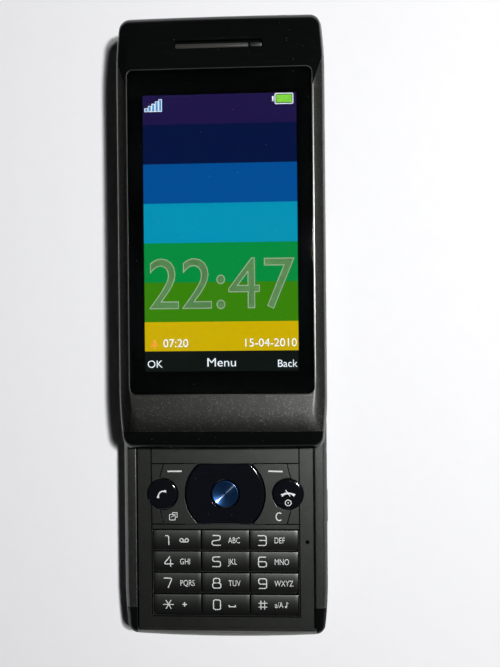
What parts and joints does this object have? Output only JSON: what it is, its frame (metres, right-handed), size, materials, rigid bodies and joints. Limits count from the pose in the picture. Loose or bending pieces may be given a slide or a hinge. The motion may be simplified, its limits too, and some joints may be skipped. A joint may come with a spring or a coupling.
{
  "type": "slider phone",
  "caption": "Slim slider phone whose display half runs up on two runners to bare a keypad with a navigation ring, a call key, an end key and rocker keys.",
  "frame": {"origin": "centre of the open phone's footprint, on its resting face", "axes": "+X to the right across the phone, +Y towards the earpiece end, +Z out of the screen; the phone lies on its back, open"},
  "size_m": [0.0502, 0.1508, 0.0155],
  "materials": {
    "housing": "fine satin, dark grey",
    "deck": "satin, dark grey",
    "flake_paint": "matt dark grey with fine metal flake",
    "piano_black": "high gloss",
    "bright_trim": "satin silver paint",
    "steel": "bright, stamped",
    "dark_steel": "zinc flake",
    "number_keys": "satin metallic",
    "side_keys": "satin",
    "select_metal": "blue, spun in circles",
    "glass": "clear over a black printed border",
    "lens_glass": "coated",
    "display": "lit colour stripes",
    "ring_metal": "polished",
    "board": "solder resist",
    "dome_sheet": "film over domes",
    "silicone": "translucent white",
    "battery_pack": "wrapped cell",
    "black_plastic": "moulded",
    "lamp": "frosted",
    "copper": "plated strip",
    "actuator": "moulded",
    "frame_magnesium": "die cast"
  },
  "bodies": {
    "base": {"base_shell": "housing", "middle_frame": "frame_magnesium", "keypad_deck": "deck", "base_rim": "bright_trim", "end_caps": "piano_black", "slide_plate": "steel", "main_board": "board", "shield_cans": "steel", "keypad_board": "dome_sheet", "keypad_mat": "silicone", "battery": "battery_pack", "card_holders": "steel", "camera_module": "black_plastic", "camera_ring": "ring_metal", "camera_window": "lens_glass", "flash_lamp": "lamp", "loudspeaker": "black_plastic", "speaker_grille": "black_plastic", "vibration_motor": "steel", "microphone": "copper", "antenna": "copper", "side_socket": "steel", "housing_screws": "dark_steel"},
    "display_half": {"slide_frame": "flake_paint", "top_cap": "piano_black", "lower_lip": "piano_black", "slide_trim": "bright_trim", "display_window": "glass", "display_module": "display", "display_tray": "steel", "earpiece": "black_plastic", "earpiece_grille": "dark_steel", "sensor_window": "lens_glass", "slide_back": "black_plastic", "slide_carriage": "dark_steel", "slide_screws": "dark_steel"},
    "battery_cover": {"battery_cover": "housing"},
    "vibration_weight": {"vibration_weight": "dark_steel"},
    "nav_actuator": {"nav_actuator": "actuator"},
    "nav_ring": {"nav_ring": "piano_black"},
    "soft_rocker_left": {"soft_rocker_left": "number_keys"},
    "soft_rocker_right": {"soft_rocker_right": "number_keys"},
    "volume_key": {"volume_key": "side_keys"},
    "shutter_key": {"shutter_key": "side_keys"},
    "select_key": {"select_key": "select_metal"},
    "call_key": {"call_key": "piano_black"},
    "end_key": {"end_key": "piano_black"},
    "key_1": {"key_1": "number_keys"},
    "key_2": {"key_2": "number_keys"},
    "key_3": {"key_3": "number_keys"},
    "key_4": {"key_4": "number_keys"},
    "key_5": {"key_5": "number_keys"},
    "key_6": {"key_6": "number_keys"},
    "key_7": {"key_7": "number_keys"},
    "key_8": {"key_8": "number_keys"},
    "key_9": {"key_9": "number_keys"},
    "key_star": {"key_star": "number_keys"},
    "key_0": {"key_0": "number_keys"},
    "key_hash": {"key_hash": "number_keys"}
  },
  "joints": [
    {"name": "display_slide", "type": "slide", "parent": "base", "child": "display_half", "axis": [0, 1, 0], "range_m": [-0.0467, 0]},
    {"name": "battery_cover_slide", "type": "slide", "parent": "base", "child": "battery_cover", "axis": [0, -1, 0], "range_m": [0, 0.082]},
    {"name": "vibration_spin", "type": "hinge", "parent": "base", "child": "vibration_weight", "pos_m": [0.006, 0.00725, 0.00325], "axis": [1, 0, 0], "continuous": true},
    {"name": "nav_tilt_side", "type": "hinge", "parent": "base", "child": "nav_actuator", "pos_m": [0, -0.03993, 0.0075], "axis": [0, 1, 0], "range_deg": [-1.2, 1.2], "stiffness_Nm_per_rad": 0.3},
    {"name": "nav_tilt_up_down", "type": "hinge", "parent": "nav_actuator", "child": "nav_ring", "pos_m": [0, -0.03993, 0.0075], "axis": [1, 0, 0], "range_deg": [-1.2, 1.2], "stiffness_Nm_per_rad": 0.3},
    {"name": "soft_rocker_left_tilt", "type": "hinge", "parent": "base", "child": "soft_rocker_left", "pos_m": [-0.013, -0.03993, 0.0076], "axis": [1, 0, 0], "range_deg": [-1.2, 1.2], "stiffness_Nm_per_rad": 0.3},
    {"name": "soft_rocker_right_tilt", "type": "hinge", "parent": "base", "child": "soft_rocker_right", "pos_m": [0.013, -0.03993, 0.0076], "axis": [1, 0, 0], "range_deg": [-1.2, 1.2], "stiffness_Nm_per_rad": 0.3},
    {"name": "volume_rock", "type": "hinge", "parent": "base", "child": "volume_key", "pos_m": [-0.0237, 0.00565, 0.0042], "axis": [0, 0, 1], "range_deg": [-1.2, 1.2], "stiffness_Nm_per_rad": 0.3},
    {"name": "shutter_press", "type": "slide", "parent": "base", "child": "shutter_key", "axis": [-1, 0, 0], "range_m": [0, 0.0003], "stiffness_N_per_m": 2000},
    {"name": "select_key_press", "type": "slide", "parent": "base", "child": "select_key", "axis": [0, 0, -1], "range_m": [0, 0.0003], "stiffness_N_per_m": 2000},
    {"name": "call_key_press", "type": "slide", "parent": "base", "child": "call_key", "axis": [0, 0, -1], "range_m": [0, 0.0003], "stiffness_N_per_m": 2000},
    {"name": "end_key_press", "type": "slide", "parent": "base", "child": "end_key", "axis": [0, 0, -1], "range_m": [0, 0.0003], "stiffness_N_per_m": 2000},
    {"name": "key_1_press", "type": "slide", "parent": "base", "child": "key_1", "axis": [0, 0, -1], "range_m": [0, 0.0003], "stiffness_N_per_m": 2000},
    {"name": "key_2_press", "type": "slide", "parent": "base", "child": "key_2", "axis": [0, 0, -1], "range_m": [0, 0.0003], "stiffness_N_per_m": 2000},
    {"name": "key_3_press", "type": "slide", "parent": "base", "child": "key_3", "axis": [0, 0, -1], "range_m": [0, 0.0003], "stiffness_N_per_m": 2000},
    {"name": "key_4_press", "type": "slide", "parent": "base", "child": "key_4", "axis": [0, 0, -1], "range_m": [0, 0.0003], "stiffness_N_per_m": 2000},
    {"name": "key_5_press", "type": "slide", "parent": "base", "child": "key_5", "axis": [0, 0, -1], "range_m": [0, 0.0003], "stiffness_N_per_m": 2000},
    {"name": "key_6_press", "type": "slide", "parent": "base", "child": "key_6", "axis": [0, 0, -1], "range_m": [0, 0.0003], "stiffness_N_per_m": 2000},
    {"name": "key_7_press", "type": "slide", "parent": "base", "child": "key_7", "axis": [0, 0, -1], "range_m": [0, 0.0003], "stiffness_N_per_m": 2000},
    {"name": "key_8_press", "type": "slide", "parent": "base", "child": "key_8", "axis": [0, 0, -1], "range_m": [0, 0.0003], "stiffness_N_per_m": 2000},
    {"name": "key_9_press", "type": "slide", "parent": "base", "child": "key_9", "axis": [0, 0, -1], "range_m": [0, 0.0003], "stiffness_N_per_m": 2000},
    {"name": "key_star_press", "type": "slide", "parent": "base", "child": "key_star", "axis": [0, 0, -1], "range_m": [0, 0.0003], "stiffness_N_per_m": 2000},
    {"name": "key_0_press", "type": "slide", "parent": "base", "child": "key_0", "axis": [0, 0, -1], "range_m": [0, 0.0003], "stiffness_N_per_m": 2000},
    {"name": "key_hash_press", "type": "slide", "parent": "base", "child": "key_hash", "axis": [0, 0, -1], "range_m": [0, 0.0003], "stiffness_N_per_m": 2000}
  ]
}
